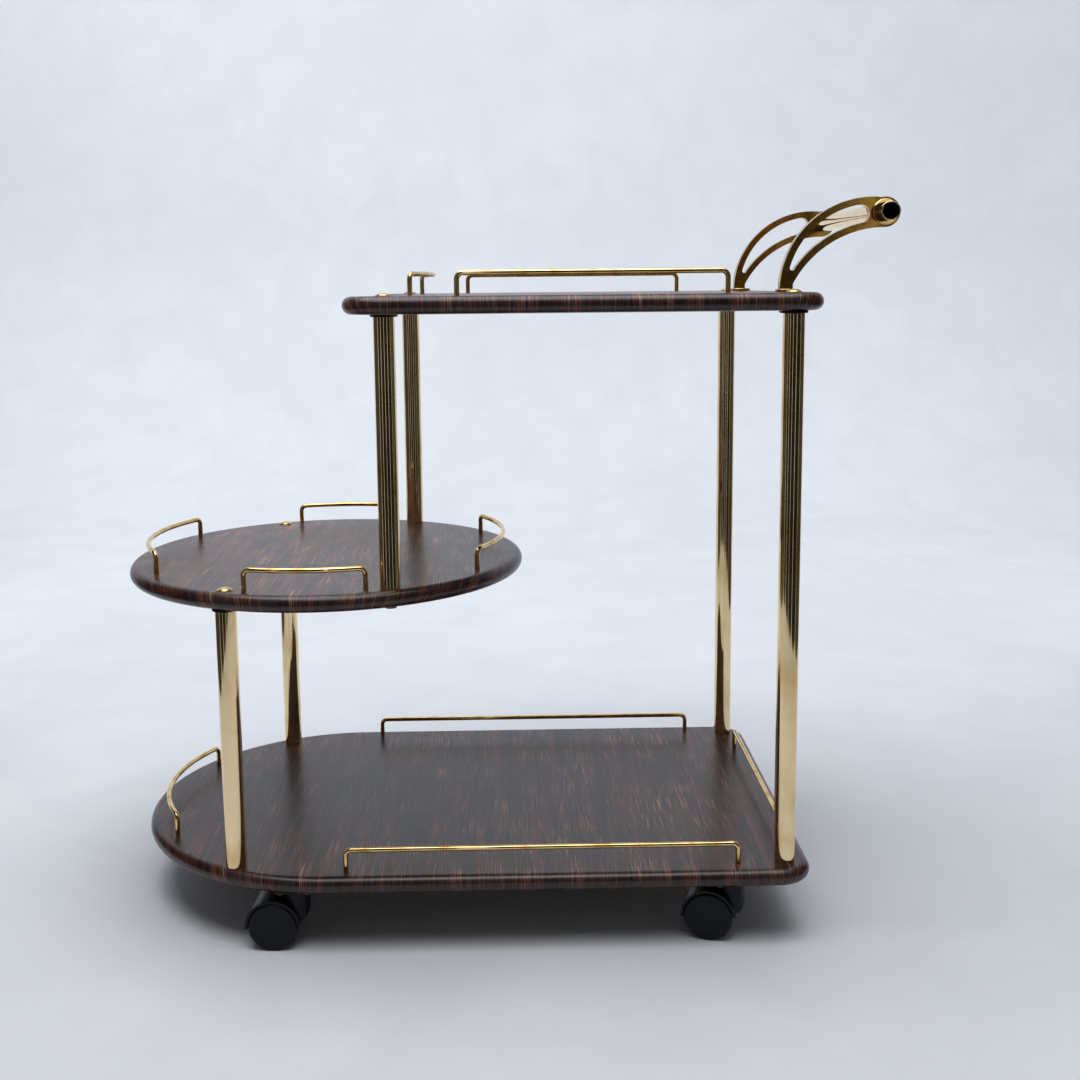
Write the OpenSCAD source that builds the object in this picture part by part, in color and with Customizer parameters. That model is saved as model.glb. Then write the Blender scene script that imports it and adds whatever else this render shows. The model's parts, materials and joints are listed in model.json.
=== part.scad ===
// Food service trolley: three boards on brass tube legs, gallery rails,
// a split-arm push handle and four twin-wheel swivel casters.
// X runs along the trolley towards the handle, Y across it, Z up from the floor.

/* [Frame] */
// From the handle-end legs to the lower legs at the round end, along X
frame_l = 580; // [480:1:720]
// From the lower legs to the upper legs at the round end, along X
leg_step = 170; // [130:1:220]
// Clear height between the base board and the round board
lower_gap = 280; // [200:1:380]
// Clear height between the round board and the top board
upper_gap = 280; // [200:1:380]
// Distance from a board's edge to the leg axes at the round end
leg_edge = 19; // [17:0.5:24]
// Distance from the base board's side to the handle-end leg axes
leg_side = 29; // [26:0.5:36]

/* [Boards] */
// Thickness of every board, which is also twice the radius of its round edge
board_t = 18; // [15:0.5:22]
// Diameter of the round middle board
round_d = 450; // [375:1:560]
// How far the round board sits outboard of the midpoint between its leg pairs
round_shift = 2; // [0:0.5:6]
// How much wider the base board is than the round board
base_extra_w = 8; // [0:1:20]
// How far the base board's round end stops short of the round board
base_set_in = 9; // [4:0.5:20]
// How far the base board runs past the handle-end legs
base_over = 28; // [24:0.5:34]
// How far the top board runs past the handle-end legs
top_over = 33; // [26:0.5:42]
// How far the top board runs past the handle-end legs sideways
top_side = 19; // [19:0.5:26]
// How far the horns of the top board reach past the upper legs
horn_reach = 42; // [38:0.5:60]
// Corner radius of the base and top boards
corner_r = 36; // [28:0.5:44]
// How far the hollow end of the top board curves in past the horn centres
bite_in = 25; // [10:0.5:32]

/* [Legs] */
// Outer diameter of the leg tubes
leg_d = 22; // [19:0.5:25]
// Wall of the leg tubes
leg_wall = 1.2; // [1:0.1:2]
// Diameter of the black collar at the top of each leg
collar_d = 28; // [26:0.5:34]
// Thickness of that collar
collar_t = 2.5; // [2:0.1:4]
// Depth of the plugs inside the tubes
plug_l = 18; // [16:0.5:30]

/* [Gallery rails] */
// Rod diameter of the rails
rail_d = 5.5; // [4:0.1:7]
// Height of the rail's axis above its board
rail_h = 22.5; // [16:0.5:34]
// Bend radius at the rail's corners
rail_bend = 6.5; // [5:0.1:9]
// Distance from a board's edge to the rail above it
rail_edge = 21.5; // [17:0.5:26]
// How deep a rail's feet go into the board
rail_in = 10; // [7:0.5:10]
// From the end of the base board's round end to its side rails
base_rail_gap = 22; // [10:0.5:60]
// From the handle-end legs back to the base board's side rails
base_rail_end = 50; // [30:0.5:90]
// From the upper legs forward to the top board's side rails
top_rail_gap = 74; // [40:0.5:90]
// From the handle-end legs back to the top board's side rails
top_rail_end = 66; // [40:0.5:90]
// From a handle-end leg's axis in to the foot of the cross rail
cross_rail_gap = 59; // [40:0.5:80]
// Half the angle that an end rail covers
end_rail_a = 29; // [20:0.5:34]
// Half the angle that a side rail of the round board covers
side_rail_a = 16; // [10:0.5:17]
// Half the length of the top board's bowed rail
bow_rail_y = 99; // [60:0.5:110]

/* [Bolts] */
// Shank diameter of the leg and handle bolts
bolt_d = 6; // [5:0.1:6.5]
// Diameter of the domed brass bolt heads
dome_d = 16.5; // [14:0.5:20]
// Height of the domed heads
dome_h = 3; // [2:0.1:4]
// Diameter of the pan heads under the boards
pan_d = 12; // [10:0.5:14]
// Height of the pan heads
pan_h = 3.2; // [2.5:0.1:3.4]
// How far a bolt goes into its plug or arm
bolt_in = 12; // [8:0.5:14]

/* [Handle] */
// From a handle-end leg's axis in to its handle arm, along Y
arm_inset = 63; // [50:0.5:90]
// From the top board's end back to the arms' feet
arm_edge = 29; // [24:0.5:34]
// Thickness of the arms, along Y
arm_t = 11; // [9:0.5:14]
// Width of an arm's foot
foot_w = 13.7; // [12.5:0.1:16]
// From the foot to the grip's axis, along X
arm_reach = 101.5; // [90:0.5:125]
// Height of the grip's axis above the top board
arm_rise = 81; // [74:0.5:98]
// Radius of the arm's head round the grip
head_r = 15.5; // [14:0.5:18]
// Width of the two struts of an arm
strut_w = 7; // [5:0.1:8]
// Height above the board where the arm splits in two
split_h = 24.5; // [20:0.5:30]
// Outer diameter of the grip tube
grip_d = 20; // [18:0.5:22]
// Wall of the grip tube
grip_wall = 1.5; // [1:0.1:2.5]
// How far the grip tube stands out past the arms
grip_out = 20; // [12:0.5:40]
// Diameter of the round flange under an arm
flange_d = 25; // [22:0.5:28]
// Thickness of that flange
flange_t = 3; // [2:0.1:5]
// How far the flange sits towards the grip from the arm's foot
flange_shift = 2; // [0:0.5:4]

/* [Casters] */
// Overall height of a caster, floor to plate
caster_h = 64; // [64:0.5:80]
// Wheel diameter
wheel_d = 51; // [46:0.5:51]
// Width of one of a caster's two wheels
wheel_w = 14.6; // [12:0.1:17]
// Thickness of the web between the two wheels
web_t = 16; // [15:0.5:20]
// Distance from the swivel axis to the wheel axis
trail = 21; // [20:0.5:26]
// Diameter of the swivel boss
boss_d = 31; // [28:0.5:36]
// Diameter of the swivel pin
pintle_d = 10; // [8:0.5:10]
// Diameter of the wheel axle
axle_d = 6; // [5:0.1:7]
// Side of the square mounting plate
plate_w = 38; // [36:0.5:44]
// Thickness of the mounting plate
plate_t = 2.5; // [2:0.1:3]
// How deep the plate screws go into the board
screw_in = 7; // [5:0.5:7]
// From the base board's side to a swivel axis
caster_side = 31; // [29:0.5:40]
// From the centre of the base board's round end out to the swivel axes there
caster_out = 33; // [10:0.5:40]
// From the handle-end legs in to the swivel axes there
caster_end = 56; // [50:0.5:90]
// How the front caster at the round end is turned at rest
yaw_left_front = -3; // [-180:1:180]
// How the front caster at the handle end is turned at rest
yaw_right_front = -16; // [-180:1:180]
// How the back caster at the round end is turned at rest
yaw_left_back = 9; // [-180:1:180]
// How the back caster at the handle end is turned at rest
yaw_right_back = -7; // [-180:1:180]

/* [Fits] */
// Radial clearance of a turning shaft
run_gap = 0.05; // [0.01:0.01:0.1]
// Radial clearance of a fixed rod, plug or bolt thread in its hole
seat_gap = 0.05; // [0.02:0.01:0.1]
// Radial clearance of a bolt through a board
bolt_gap = 0.3; // [0.1:0.05:0.6]
// Side clearance between parts that turn past each other
side_gap = 0.4; // [0.3:0.05:1]
// Radial clearance between a wheel and its hood
well_gap = 0.9; // [0.5:0.1:2]

/* [Hidden] */
$fn = 96;
e = 1;                                   // overshoot of a cut through a face

// Heights of the board undersides
edge_r = board_t / 2;
base_z = caster_h;
base_top = base_z + board_t;
round_z = base_top + lower_gap;
round_top = round_z + board_t;
top_z = round_top + upper_gap;
top_top = top_z + board_t;

// Widths and Y places
round_r = round_d / 2;
base_hw = (round_d + base_extra_w) / 2;
end_leg_y = base_hw - leg_side;
top_hw = end_leg_y + top_side;
arm_y = end_leg_y - arm_inset;
caster_y = base_hw - caster_side;

// X places from the handle-end legs, before the shift to the middle
upper_u = -(frame_l - leg_step);
round_u = (upper_u - frame_l) / 2 - round_shift;
head_u = top_over - arm_edge + arm_reach + head_r;
mid_u = (round_u - round_r + head_u) / 2;

// X places in the trolley's frame, whose origin is midway along its length
end_leg_x = -mid_u;
lower_leg_x = end_leg_x - frame_l;
upper_leg_x = end_leg_x + upper_u;
round_x = end_leg_x + round_u;
base_x = round_x - round_r + base_set_in + base_hw;
base_end_x = end_leg_x + base_over;
top_end_x = end_leg_x + top_over;
arm_x = top_end_x - arm_edge;
grip_x = arm_x + arm_reach;
grip_z = top_top + arm_rise;

// Legs of the round end stand on a circle inside the round board's edge
leg_ring = round_r - leg_edge;
lower_leg_y = sqrt(leg_ring^2 - (lower_leg_x - round_x)^2);
upper_leg_y = sqrt(leg_ring^2 - (upper_leg_x - round_x)^2);
leg_r = leg_d / 2;
bolt_r = bolt_d / 2;

// Hollow end of the top board: an arc that runs into both horns
horn_x = upper_leg_x - horn_reach + corner_r;
horn_y = top_hw - corner_r;
bite_r = (bite_in^2 + horn_y^2 - corner_r^2) / (2 * (bite_in + corner_r));
bite_x = horn_x + bite_in - bite_r;
bite_a = asin(horn_y / (bite_r + corner_r));
lip_gap = 0.01;                          // keeps the lip's skin off the horns' skin

// Rails
rail_r = rail_d / 2;
bar_r = rail_r - 0.06;                   // an arc bar is a hair thinner than its bent feet
bar_in = 0.6;                            // and its ends go that far into them
base_rail_y = base_hw - rail_edge;
top_rail_y = top_hw - rail_edge;
round_rail_r = round_r - rail_edge;
bow_rail_r = bite_r + rail_edge;
bow_rail_a = asin(bow_rail_y / bow_rail_r);

// Both sides of the trolley, and the places of legs, bolts and casters
SIDES = [-1, 1];
END_LEGS = [for (s = SIDES) [end_leg_x, s * end_leg_y]];
LOWER_LEGS = [for (s = SIDES) [lower_leg_x, s * lower_leg_y]];
UPPER_LEGS = [for (s = SIDES) [upper_leg_x, s * upper_leg_y]];
ARM_FEET = [for (s = SIDES) [arm_x, s * arm_y]];
left_caster_x = base_x - caster_out;
right_caster_x = end_leg_x - caster_end;
CASTERS = [
    [left_caster_x, -caster_y, yaw_left_front],
    [right_caster_x, -caster_y, yaw_right_front],
    [left_caster_x, caster_y, yaw_left_back],
    [right_caster_x, caster_y, yaw_right_back]
];

// Feet of an arc rail whose middle points along the direction m: each stands
// one bend past the end of the arc, along the arc's tangent there
function arc_feet(c, r, m, half) = [for (s = SIDES)
    [c[0] + r * cos(m + s * half), c[1] + r * sin(m + s * half)]
    + s * rail_bend * [-sin(m + s * half), cos(m + s * half)]];

BASE_SIDE_FEET = [base_x + base_rail_gap, end_leg_x - base_rail_end];
TOP_SIDE_FEET = [upper_leg_x + top_rail_gap, end_leg_x - top_rail_end];
cross_rail_x = base_end_x - rail_edge;
cross_rail_y = end_leg_y - cross_rail_gap;
BASE_FEET = concat(
    [for (x = BASE_SIDE_FEET, s = SIDES) [x, s * base_rail_y]],
    [for (s = SIDES) [cross_rail_x, s * cross_rail_y]],
    arc_feet([base_x, 0], base_rail_y, 180, end_rail_a));
ROUND_FEET = concat(
    [for (m = [0, 180]) each arc_feet([round_x, 0], round_rail_r, m, end_rail_a)],
    [for (m = [90, 270]) each arc_feet([round_x, 0], round_rail_r, m, side_rail_a)]);
TOP_FEET = concat(
    [for (x = TOP_SIDE_FEET, s = SIDES) [x, s * top_rail_y]],
    arc_feet([bite_x, 0], bow_rail_r, 0, bow_rail_a));

// Handle arm in its own plane: x from the foot, y up from the board.
// The upper strut is a ring round bow_c, the lower one a ring round belly_c.
bow_r = arm_rise + head_r - 1;
bow_c = [bow_r - foot_w / 2, 1];
foot_h = 8;
belly_h = arm_rise - head_r - foot_h;
belly_r = ((arm_reach - foot_w / 2)^2 + belly_h^2) / (2 * belly_h);
belly_c = [arm_reach, arm_rise - head_r - belly_r];
win_top_r = bow_r - strut_w;
win_low_r = belly_r + strut_w;
win_end_x = arm_reach - head_r - 10;
// Edges of the arm's window at a height, and at a distance along the arm
function win_left(h) = bow_c[0] - sqrt(win_top_r^2 - (h - bow_c[1])^2);
function win_right(h) = belly_c[0] - sqrt(win_low_r^2 - (h - belly_c[1])^2);
function win_ceil(x) = bow_c[1] + sqrt(win_top_r^2 - (x - bow_c[0])^2);
function win_floor(x) = belly_c[1] + sqrt(win_low_r^2 - (x - belly_c[0])^2);
win_gap_low = win_right(split_h) - win_left(split_h);
win_gap_end = win_ceil(win_end_x) - win_floor(win_end_x);

// Grip
grip_r = grip_d / 2;
grip_half = arm_y + arm_t / 2 + grip_out;
ring_wall = 3.2;
ring_r = grip_r + ring_wall;
ring_t = 3;
set_r = 2;
set_sunk = 0.5;                          // the set screw sits this far inside the head
set_short = 0.1;                         // and stops this far short of the grip tube

// Caster, in its own frame: swivel axis at the origin, floor at z = 0
wheel_r = wheel_d / 2;
axle_r = axle_d / 2;
pintle_r = pintle_d / 2;
boss_r = boss_d / 2;
hood_wall = 2.7;
hood_r = wheel_r + well_gap + hood_wall;
wheel_in = web_t / 2 + side_gap;
wheel_out = wheel_in + wheel_w;
wheel_proud = 0.6;                       // the wheels stand this far out of the mudguard
hood_half = wheel_out - wheel_proud;
thrust_t = 1.2;
hood_top = caster_h - plate_t - thrust_t - side_gap;
plate_z = caster_h - plate_t;
pintle_low = hood_top - 22;
axle_half = wheel_out - 3;
hub_r = axle_r + 5;
clip_z = pintle_low + 3;
clip_t = 1;
clip_r = pintle_r + 1;
clip_split = 1.6;
clip_well = 0.4;                         // clearance of the hood's well round the clip
groove_r = pintle_r - 0.8;
rivet_r = pintle_r - 1;
screw_r = 1.9;
screw_head_r = 3.4;
screw_head_h = 1.8;
screw_at = plate_w / 2 - 5;
toe_r = 10.5;
toe_z = 3;

// ---- helpers -------------------------------------------------------------

module at(places, z = 0) {
    for (p = places) translate([p[0], p[1], z]) children();
}

// Upright section of a board from its inside (x = 0) to its round edge (x = w)
module edge_section(w) {
    square([w - edge_r, board_t]);
    translate([w - edge_r, edge_r]) circle(edge_r);
}

// The same section for the lip of the hollow end, a hair thinner above and below
module lip_section(w) {
    translate([0, lip_gap]) square([w - edge_r, board_t - 2 * lip_gap]);
    translate([w - edge_r, edge_r]) circle(edge_r - lip_gap);
}

module board_sector(r, from, to) {
    rotate([0, 0, from]) rotate_extrude(angle = to - from) edge_section(r);
}

// Straight stretch of board along X with both sides rounded
module board_run(x0, x1, half_w) {
    translate([x0, 0, 0]) rotate([90, 0, 90]) linear_extrude(x1 - x0) {
        edge_section(half_w);
        mirror([1, 0]) edge_section(half_w);
    }
}

// Square end of a board with two round corners, centred on X = 0 to corner_r
module board_end(half_w) {
    rotate([90, 0, 0]) linear_extrude(2 * (half_w - corner_r), center = true)
        edge_section(corner_r);
    for (s = SIDES) translate([0, s * (half_w - corner_r), 0])
        board_sector(corner_r, s > 0 ? 0 : -90, s > 0 ? 90 : 0);
}

module bolt_holes(places) {
    at(places, -e) cylinder(r = bolt_r + bolt_gap, h = board_t + 2 * e);
}

module rail_holes(places) {
    at(places, board_t - rail_in - 0.5) cylinder(r = rail_r + seat_gap, h = rail_in + 0.5 + e);
}

module screw_holes() {
    for (c = CASTERS) translate([c[0], c[1], 0])
        for (sx = SIDES, sy = SIDES) translate([sx * screw_at, sy * screw_at, -e])
            cylinder(r = screw_r + seat_gap, h = screw_in + 0.5 + e);
}

// ---- boards --------------------------------------------------------------

module base_board() {
    color("#3a2320") translate([0, 0, base_z]) difference() {
        union() {
            translate([base_x, 0, 0]) board_sector(base_hw, 90, 270);
            board_run(base_x, base_end_x - corner_r, base_hw);
            translate([base_end_x - corner_r, 0, 0]) board_end(base_hw);
        }
        bolt_holes(concat(END_LEGS, LOWER_LEGS));
        rail_holes(BASE_FEET);
        screw_holes();
    }
}

module round_board() {
    color("#3a2320") translate([0, 0, round_z]) difference() {
        translate([round_x, 0, 0]) rotate_extrude() edge_section(round_r);
        bolt_holes(concat(LOWER_LEGS, UPPER_LEGS));
        rail_holes(ROUND_FEET);
    }
}

module top_board() {
    color("#3a2320") translate([0, 0, top_z]) difference() {
        union() {
            difference() {
                board_run(horn_x, top_end_x - corner_r, top_hw);
                translate([bite_x, 0, -e])
                    cylinder(r = bite_r + corner_r / 2, h = board_t + 2 * e);
            }
            translate([top_end_x - corner_r, 0, 0]) board_end(top_hw);
            translate([bite_x, 0, 0]) rotate([0, 0, -bite_a])
                rotate_extrude(angle = 2 * bite_a)
                    translate([bite_r + corner_r, 0]) mirror([1, 0]) lip_section(corner_r);
            for (s = SIDES) translate([horn_x, s * horn_y, 0])
                rotate_extrude() edge_section(corner_r);
        }
        bolt_holes(concat(END_LEGS, UPPER_LEGS, ARM_FEET));
        rail_holes(TOP_FEET);
    }
}

// ---- legs and bolts ------------------------------------------------------

module leg(place, z, gap) {
    color("#d9c38a") translate([place[0], place[1], z]) difference() {
        cylinder(r = leg_r, h = gap - collar_t);
        translate([0, 0, -e]) cylinder(r = leg_r - leg_wall, h = gap - collar_t + 2 * e);
    }
}

// Plug with a threaded hole, its open end at z = 0
module plug() {
    difference() {
        cylinder(r = leg_r - leg_wall - seat_gap, h = plug_l);
        translate([0, 0, -e]) cylinder(r = bolt_r + seat_gap, h = bolt_in + 1 + e);
    }
}

module leg_collars() {
    color("#151515") {
        at(END_LEGS, top_z) leg_collar();
        at(UPPER_LEGS, top_z) leg_collar();
        at(LOWER_LEGS, round_z) leg_collar();
    }
}

// Black collar that shows under a board, with its spigot inside the tube
module leg_collar() {
    difference() {
        union() {
            translate([0, 0, -collar_t]) cylinder(d = collar_d, h = collar_t);
            translate([0, 0, -collar_t - plug_l])
                cylinder(r = leg_r - leg_wall - seat_gap, h = plug_l + collar_t / 2);
        }
        translate([0, 0, -bolt_in - 1]) cylinder(r = bolt_r + seat_gap, h = bolt_in + 1 + e);
    }
}

module foot_plugs() {
    color("#151515") {
        at(END_LEGS, base_top) plug();
        at(LOWER_LEGS, base_top) plug();
        at(UPPER_LEGS, round_top) plug();
    }
}

// Domed head on top of a board, shank down through it
module dome_bolt() {
    dome_r = (dome_d^2 / 4 + dome_h^2) / (2 * dome_h);
    intersection() {
        translate([0, 0, dome_h - dome_r]) sphere(dome_r);
        cylinder(d = dome_d + 1, h = dome_h + 1);
    }
    translate([0, 0, -board_t - bolt_in]) cylinder(r = bolt_r, h = board_t + bolt_in + dome_h / 2);
}

module dome_bolts() {
    color("#c9ad6b") {
        at(END_LEGS, top_top) dome_bolt();
        at(UPPER_LEGS, top_top) dome_bolt();
        at(LOWER_LEGS, round_top) dome_bolt();
    }
}

// Pan head under a board, shank up through it to a height above the board
module pan_bolt(above) {
    translate([0, 0, -pan_h]) difference() {
        cylinder(d = pan_d, h = pan_h);
        translate([0, 0, -e]) cylinder(r = bolt_r * 0.8, h = pan_h / 2 + e, $fn = 6);
    }
    cylinder(r = bolt_r, h = board_t + above);
}

module under_bolts() {
    color("#9a9a9a") {
        at(concat(END_LEGS, LOWER_LEGS), base_z) pan_bolt(bolt_in);
        at(UPPER_LEGS, round_z) pan_bolt(bolt_in);
    }
}

// ---- gallery rails -------------------------------------------------------

// Foot and bend of a rail, from the board at the origin to a bar along +X
module rail_foot() {
    translate([0, 0, -rail_in]) cylinder(r = rail_r, h = rail_in + rail_h - rail_bend);
    translate([rail_bend, 0, rail_h - rail_bend]) rotate([90, 0, 0]) rotate([0, 0, 90])
        rotate_extrude(angle = 90) translate([rail_bend, 0]) circle(rail_r);
}

module straight_rail(x0, x1, y, z) {
    color("#c9a85c") translate([x0, y, z]) {
        rail_foot();
        translate([x1 - x0, 0, 0]) mirror([1, 0, 0]) rail_foot();
        translate([rail_bend, 0, rail_h]) rotate([0, 90, 0])
            cylinder(r = rail_r, h = x1 - x0 - 2 * rail_bend);
    }
}

// Rail bent along an arc about cx, its middle pointing along m
module arc_rail(cx, r, m, half, z) {
    feet = arc_feet([cx, 0], r, m, half);
    stop = half + asin(bar_in / r);
    color("#c9a85c") translate([0, 0, z]) {
        for (i = [0, 1]) translate([feet[i][0], feet[i][1], 0])
            rotate([0, 0, m - SIDES[i] * (90 - half)]) rail_foot();
        translate([cx, 0, rail_h]) rotate([0, 0, m - stop])
            rotate_extrude(angle = 2 * stop) translate([r, 0]) circle(bar_r);
    }
}

module base_side_rail(s) {
    straight_rail(BASE_SIDE_FEET[0], BASE_SIDE_FEET[1], s * base_rail_y, base_top);
}

module top_side_rail(s) {
    straight_rail(TOP_SIDE_FEET[0], TOP_SIDE_FEET[1], s * top_rail_y, top_top);
}

module base_rail_cross() {
    rotate([0, 0, 90])
        straight_rail(-cross_rail_y, cross_rail_y, -cross_rail_x, base_top);
}

// ---- handle --------------------------------------------------------------

// Outline of an arm's window between its two struts
module arm_window() {
    difference() {
        intersection() {
            translate(bow_c) circle(win_top_r);
            translate([-foot_w, split_h]) square([win_end_x + foot_w, arm_rise + head_r]);
        }
        translate(belly_c) circle(win_low_r);
    }
    translate([(win_left(split_h) + win_right(split_h)) / 2, split_h]) circle(win_gap_low / 2);
    translate([win_end_x, (win_ceil(win_end_x) + win_floor(win_end_x)) / 2])
        circle(win_gap_end / 2);
}

module arm_outline() {
    difference() {
        union() {
            difference() {
                intersection() {
                    translate(bow_c) circle(bow_r);
                    translate([-foot_w, flange_t]) square([arm_reach + foot_w, arm_rise + head_r]);
                }
                translate(belly_c) circle(belly_r);
            }
            translate([0, flange_t]) square([foot_w / 2, foot_h - flange_t]);
            translate([arm_reach, arm_rise]) circle(head_r);
        }
        arm_window();
        translate([arm_reach, arm_rise]) circle(grip_r + seat_gap);
    }
}

module handle_arm(s) {
    color("#8f6f2c") translate([arm_x, s * arm_y, top_top]) difference() {
        rotate([90, 0, 0]) linear_extrude(arm_t, center = true) arm_outline();
        translate([0, 0, flange_t - e]) cylinder(r = bolt_r + seat_gap, h = bolt_in + 1 + e);
        translate([arm_reach, 0, arm_rise - head_r - e])
            cylinder(r = set_r + seat_gap, h = head_r - grip_r + 2 * e);
    }
}

module handle_flanges() {
    color("#c9ad6b") at(ARM_FEET, top_top) difference() {
        translate([flange_shift, 0, 0]) cylinder(d = flange_d, h = flange_t);
        translate([0, 0, -e]) cylinder(r = bolt_r + bolt_gap, h = flange_t + 2 * e);
    }
}

module handle_bolts() {
    color("#9a9a9a") at(ARM_FEET, top_z) pan_bolt(flange_t + bolt_in);
}

module grip_tube() {
    color("#b8974c") translate([grip_x, 0, grip_z]) rotate([90, 0, 0]) difference() {
        cylinder(r = grip_r, h = 2 * grip_half, center = true);
        cylinder(r = grip_r - grip_wall, h = 2 * grip_half + 2 * e, center = true);
    }
}

module grip_rings() {
    color("#c9ad6b") for (s = SIDES)
        translate([grip_x, s * (arm_y + arm_t / 2 + ring_t / 2), grip_z]) rotate([90, 0, 0])
            difference() {
                cylinder(r = ring_r, h = ring_t, center = true);
                cylinder(r = grip_r + seat_gap, h = ring_t + 2 * e, center = true);
            }
}

module grip_screws() {
    color("#3b3b3b") for (s = SIDES)
        translate([grip_x, s * arm_y, grip_z - head_r + set_sunk])
            cylinder(r = set_r, h = head_r - grip_r - set_sunk - set_short);
}

// ---- casters -------------------------------------------------------------

module caster_plates() {
    color("#2b2b2d") at(CASTERS, plate_z) difference() {
        translate([-plate_w / 2, -plate_w / 2, 0]) cube([plate_w, plate_w, plate_t]);
        translate([0, 0, -e]) cylinder(r = rivet_r + seat_gap, h = plate_t + 2 * e);
        for (sx = SIDES, sy = SIDES) translate([sx * screw_at, sy * screw_at, -e])
            cylinder(r = screw_r + 0.2, h = plate_t + 2 * e);
    }
}

module caster_screws() {
    color("#8a8a8a") at(CASTERS, plate_z) for (sx = SIDES, sy = SIDES)
        translate([sx * screw_at, sy * screw_at, 0]) {
            translate([0, 0, -screw_head_h]) cylinder(r = screw_head_r, h = screw_head_h);
            cylinder(r = screw_r, h = plate_t + screw_in);
        }
}

// Swivel pin riveted into the plate, with its thrust flange and clip groove
module caster_pintles() {
    color("#8a8a8a") at(CASTERS) difference() {
        union() {
            translate([0, 0, pintle_low]) cylinder(r = pintle_r, h = plate_z - pintle_low);
            translate([0, 0, plate_z - thrust_t]) cylinder(r = boss_r - 1.5, h = thrust_t);
            translate([0, 0, plate_z - e]) cylinder(r = rivet_r, h = plate_t + e);
        }
        translate([0, 0, clip_z - 0.1]) difference() {
            cylinder(r = pintle_r + e, h = clip_t + 0.2);
            translate([0, 0, -e]) cylinder(r = groove_r, h = clip_t + 3 * e);
        }
    }
}

// Split spring ring that holds the hood on its pin
module pintle_clips() {
    color("#8a8a8a") at(CASTERS, clip_z) difference() {
        cylinder(r = clip_r, h = clip_t);
        translate([0, 0, -e]) cylinder(r = groove_r + seat_gap, h = clip_t + 2 * e);
        translate([0, -clip_split / 2, -e]) cube([clip_r + e, clip_split, clip_t + 2 * e]);
    }
}

// Side view of the hood about the wheel axis: the mudguard and the boss
module hood_side() {
    difference() {
        circle(hood_r);
        translate([-hood_r - e, -hood_r - e]) square([hood_r + e, hood_r + e - 2]);
        translate([0, -hood_r - e]) square([hood_r + e, hood_r + e + toe_z]);
    }
}

// Side view of the boss, with its rounded toe
module boss_side() {
    toe_x = trail + boss_r - toe_r;
    translate([0, toe_z + toe_r]) square([trail + boss_r, hood_top - wheel_r - toe_z - toe_r]);
    translate([0, toe_z]) square([toe_x, 2 * toe_r]);
    translate([toe_x, toe_z + toe_r]) circle(toe_r);
}

module across(w) {
    translate([-trail, 0, wheel_r]) rotate([90, 0, 0]) linear_extrude(w, center = true) children();
}

module hood(i) {
    color("#121316") translate([CASTERS[i][0], CASTERS[i][1], 0]) rotate([0, 0, CASTERS[i][2]])
        difference() {
            union() {
                across(2 * hood_half) hood_side();
                across(web_t) circle(hub_r);
                intersection() {
                    cylinder(r = boss_r, h = hood_top);
                    across(boss_d + 2 * e) boss_side();
                }
            }
            for (s = SIDES) translate([0, s * (web_t / 2 + wheel_w), 0])
                across(2 * wheel_w) circle(wheel_r + well_gap);
            across(web_t + 2 * e) circle(axle_r + seat_gap);
            translate([0, 0, pintle_low - 1]) cylinder(r = pintle_r + run_gap, h = hood_top);
            translate([0, 0, clip_z - 0.5]) cylinder(r = clip_r + clip_well, h = clip_t + 1);
        }
}

module axle(i) {
    color("#9a9a9a") translate([CASTERS[i][0], CASTERS[i][1], 0]) rotate([0, 0, CASTERS[i][2]])
        across(2 * axle_half) circle(axle_r);
}

// Section of a wheel from its axis out: x is the radius, y runs from its inner face
module wheel_section() {
    bevel = 1.6;
    relief_d = 5;
    bore_r = axle_r + run_gap;
    bore_l = axle_half - wheel_in + side_gap;
    polygon([
        [bore_r, 0], [hub_r, 0], [hub_r, relief_d], [wheel_r - 4.5, relief_d],
        [wheel_r - 4.5, 0], [wheel_r - bevel / 2, 0], [wheel_r, bevel / 2],
        [wheel_r, wheel_w - bevel], [wheel_r - bevel, wheel_w], [0, wheel_w],
        [0, bore_l], [bore_r, bore_l]
    ]);
}

module wheel(i, s) {
    color("#101114") translate([CASTERS[i][0], CASTERS[i][1], 0]) rotate([0, 0, CASTERS[i][2]])
        translate([-trail, s * wheel_in, wheel_r]) rotate([-s * 90, 0, 0])
            rotate_extrude() wheel_section();
}

// ---- what is drawn -------------------------------------------------------

top_board();
round_board();
base_board();
leg(END_LEGS[0], base_top, top_z - base_top);  // end_leg_front
leg(END_LEGS[1], base_top, top_z - base_top);  // end_leg_back
leg(LOWER_LEGS[0], base_top, lower_gap);  // lower_leg_front
leg(LOWER_LEGS[1], base_top, lower_gap);  // lower_leg_back
leg(UPPER_LEGS[0], round_top, upper_gap);  // upper_leg_front
leg(UPPER_LEGS[1], round_top, upper_gap);  // upper_leg_back
leg_collars();
foot_plugs();
dome_bolts();
under_bolts();
base_side_rail(-1);  // base_rail_front
base_side_rail(1);  // base_rail_back
arc_rail(base_x, base_rail_y, 180, end_rail_a, base_top);  // base_rail_round
base_rail_cross();
arc_rail(round_x, round_rail_r, 270, side_rail_a, round_top);  // round_rail_front
arc_rail(round_x, round_rail_r, 90, side_rail_a, round_top);  // round_rail_back
arc_rail(round_x, round_rail_r, 180, end_rail_a, round_top);  // round_rail_left
arc_rail(round_x, round_rail_r, 0, end_rail_a, round_top);  // round_rail_right
top_side_rail(-1);  // top_rail_front
top_side_rail(1);  // top_rail_back
arc_rail(bite_x, bow_rail_r, 0, bow_rail_a, top_top);  // top_rail_bowed
handle_arm(-1);  // handle_arm_front
handle_arm(1);  // handle_arm_back
handle_flanges();
handle_bolts();
grip_tube();
grip_rings();
grip_screws();
caster_plates();
caster_screws();
caster_pintles();
pintle_clips();
hood(0);  // hood_left_front
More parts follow.
